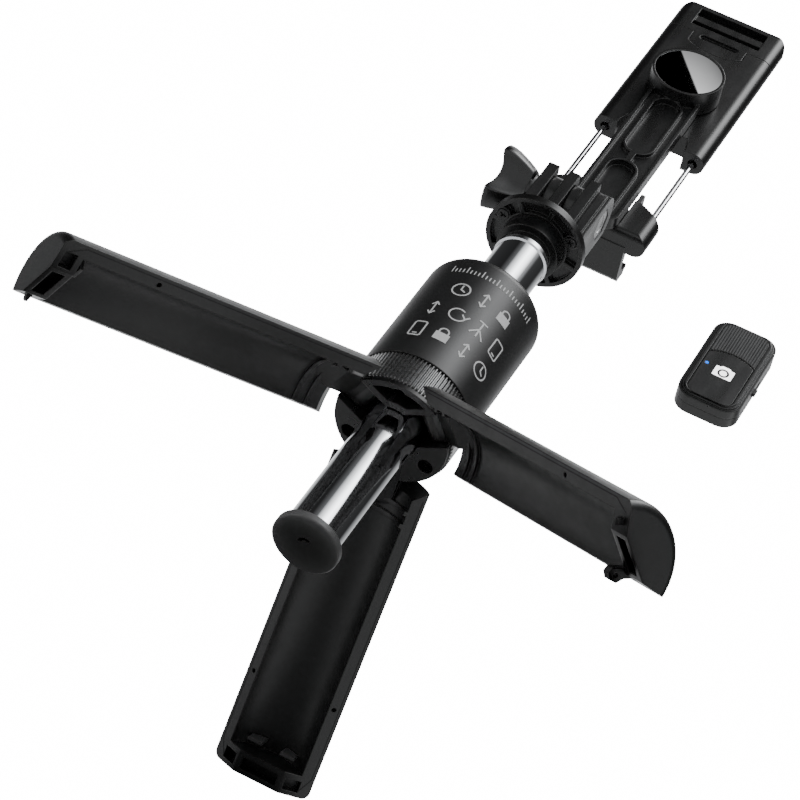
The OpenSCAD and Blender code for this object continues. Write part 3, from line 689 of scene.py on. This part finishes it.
def make_camera():
    right, up, toward = camera_axes()
    data = bpy.data.cameras.new("camera")
    data.lens = LENS
    data.sensor_width = 36
    data.clip_start = 0.01
    camera = bpy.data.objects.new("camera", data)
    bpy.context.scene.collection.objects.link(camera)
    rotation = Matrix((right, up, toward)).transposed().to_4x4()
    camera.matrix_world = Matrix.Translation(TARGET + toward * DISTANCE) @ rotation
    bpy.context.scene.camera = camera


def area_light(name, position, target, size, power):
    data = bpy.data.lights.new(name, "AREA")
    data.energy = power
    data.shape = "SQUARE"
    data.size = size
    light = bpy.data.objects.new(name, data)
    bpy.context.scene.collection.objects.link(light)
    light.location = position
    aim = (Vector(target) - Vector(position)).to_track_quat("-Z", "Y")
    light.rotation_euler = aim.to_euler()
    light.visible_camera = False


def make_lights():
    """Three soft boxes: above left in front of the object, and below and above right behind it."""
    right, up, toward = camera_axes()
    middle = Vector((0, 0.01, 0.12))

    def spot(r, u, t):
        return middle + right * r + up * u + toward * t

    area_light("key_top_left", spot(-1.0, 0.9, 0.4), middle, 0.7, 5)
    area_light("low_fill", spot(0.2, -0.9, -0.3), middle, 0.9, 3)
    area_light("rim_back", spot(0.9, 0.9, -0.5), middle, 0.7, 7)


# Brightness of the studio walls by heading, in degrees from the camera's own heading
WALLS = [(-180, 1.7), (-152, 1.2), (-122, 0.04), (-50, 0.02), (-28, 0.15), (-10, 2.0),
         (8, 5.8), (22, 4.0), (38, 0.5), (56, 0.05), (104, 0.03), (130, 0.5), (152, 1.2),
         (180, 1.7)]
WALL_TOP = 6.0
BACKDROP = 16.0


def make_world():
    """Soft walls for the reflections, and a white backdrop where the camera looks past."""
    world = bpy.data.worlds.new("studio")
    bpy.context.scene.world = world
    world.use_nodes = True
    tree = world.node_tree
    tree.nodes.clear()

    def node(kind, **values):
        made = tree.nodes.new(kind)
        for key, value in values.items():
            setattr(made, key, value)
        return made

    def math_node(operation, a, b=None):
        made = node("ShaderNodeMath", operation=operation)
        for socket, value in zip(made.inputs, (a, b)):
            if isinstance(value, bpy.types.NodeSocket):
                tree.links.new(value, socket)
            elif value is not None:
                socket.default_value = value
        return made.outputs[0]

    split = node("ShaderNodeSeparateXYZ")
    tree.links.new(node("ShaderNodeTexCoord").outputs["Generated"], split.inputs[0])
    x, y, z = split.outputs
    # Heading of each direction, turned so that 0 is the camera's own
    home = AZIMUTH - math.pi / 2
    turned_x = math_node("ADD", math_node("MULTIPLY", x, math.cos(home)),
                         math_node("MULTIPLY", y, math.sin(home)))
    turned_y = math_node("SUBTRACT", math_node("MULTIPLY", y, math.cos(home)),
                         math_node("MULTIPLY", x, math.sin(home)))
    heading = math_node("ARCTAN2", turned_y, turned_x)
    factor = math_node("ADD", math_node("DIVIDE", heading, 2 * math.pi), 0.5)
    ramp = node("ShaderNodeValToRGB")
    tree.links.new(factor, ramp.inputs[0])
    elements = ramp.color_ramp.elements
    while len(elements) < len(WALLS):
        elements.new(0.5)
    for element, (angle, level) in zip(elements, WALLS):
        element.position = (angle + 180) / 360
        element.color = (level / WALL_TOP,) * 3 + (1,)
    # The walls are darker below
    height = node("ShaderNodeMapRange", interpolation_type="SMOOTHSTEP")
    tree.links.new(z, height.inputs["Value"])
    for key, value in (("From Min", -0.35), ("From Max", 0.55), ("To Min", 0.10),
                       ("To Max", 1.0)):
        height.inputs[key].default_value = value
    strength = math_node("MULTIPLY", math_node("MULTIPLY", ramp.outputs[0], height.outputs[0]),
                         WALL_TOP)
    walls = node("ShaderNodeBackground")
    walls.inputs["Color"].default_value = (0.97, 0.985, 1, 1)
    tree.links.new(strength, walls.inputs["Strength"])
    backdrop = node("ShaderNodeBackground")
    backdrop.inputs["Color"].default_value = (1, 1, 1, 1)
    backdrop.inputs["Strength"].default_value = BACKDROP
    mix = node("ShaderNodeMixShader")
    tree.links.new(node("ShaderNodeLightPath").outputs["Is Camera Ray"], mix.inputs[0])
    tree.links.new(walls.outputs[0], mix.inputs[1])
    tree.links.new(backdrop.outputs[0], mix.inputs[2])
    tree.links.new(mix.outputs[0], node("ShaderNodeOutputWorld").inputs["Surface"])


FLOOR_HALF = 4.0
FLOOR_Z = -1.42 * MM


def make_floor():
    """Pale floor under the open legs, clear from below, where the main view looks up through it.

    Shadow rays pass it too, so the light from below still reaches the object.
    """
    n = Nodes("pale_floor")
    wash = n.noise(3, 3)
    color = n.ramp(wash, [(0.3, 0.80), (0.7, 0.84)])
    solid = n.add("ShaderNodeBsdfDiffuse", Color=color)
    clear = n.add("ShaderNodeBsdfTransparent")
    behind = n.add("ShaderNodeNewGeometry").outputs["Backfacing"]
    shadow = n.add("ShaderNodeLightPath").outputs["Is Shadow Ray"]
    mix = n.add("ShaderNodeMixShader", Fac=n.math("MAXIMUM", behind, shadow))
    n.set(mix, 1, solid.outputs[0])
    n.set(mix, 2, clear.outputs[0])
    n.set(n.out, "Surface", mix.outputs[0])
    floor = stage_square("floor", FLOOR_HALF, FLOOR_Z, n.material)


CARD_HALF = 0.03
CARD_DISTANCE = 0.2
CARD_TURN = math.radians(21.7)


def mirror_card():
    """A small card that the mirror sees: black on one half, a soft falloff on the other."""
    low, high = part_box("mirror_disc")
    center = (low + high) / 2
    right, up, toward = camera_axes()
    sight = (center - TARGET - toward * DISTANCE).normalized()
    flip = Vector((1, -1, 1))
    away = sight * flip

    n = Nodes("studio_card")
    split = n.add("ShaderNodeSeparateXYZ", Vector=n.coord)
    half_lit = n.fall(split.outputs["X"], -0.0002, 0.0002, 0.0, 1.0)
    across = n.fall(split.outputs["X"], 0.0, 0.014, 1.0, 0.05)
    along = n.fall(split.outputs["Y"], -0.010, 0.012, 1.0, 0.25)
    level = n.math("MULTIPLY", n.math("MULTIPLY", half_lit, across), along)
    glow = n.add("ShaderNodeEmission", Strength=level)
    n.set(n.out, "Surface", glow.outputs[0])

    card = stage_square("mirror_card", CARD_HALF, 0, n.material)
    axis_x, axis_y = right * flip, up * flip
    edge_x = (axis_x * math.cos(CARD_TURN) + axis_y * math.sin(CARD_TURN)).normalized()
    edge_y = (axis_y * math.cos(CARD_TURN) - axis_x * math.sin(CARD_TURN)).normalized()
    rotation = Matrix((edge_x, edge_y, edge_x.cross(edge_y))).transposed().to_4x4()
    card.matrix_world = Matrix.Translation(center + away * CARD_DISTANCE) @ rotation
    card.visible_camera = False
    card.visible_shadow = False


# ---------------------------------------------------------------- build

dress_cad_nodes()
knurled_ring()
leg_seams()
thumb_knob()
body_marks()
remote_ribs()
remote_camera_mark()
make_camera()
make_lights()
make_world()
make_floor()
mirror_card()
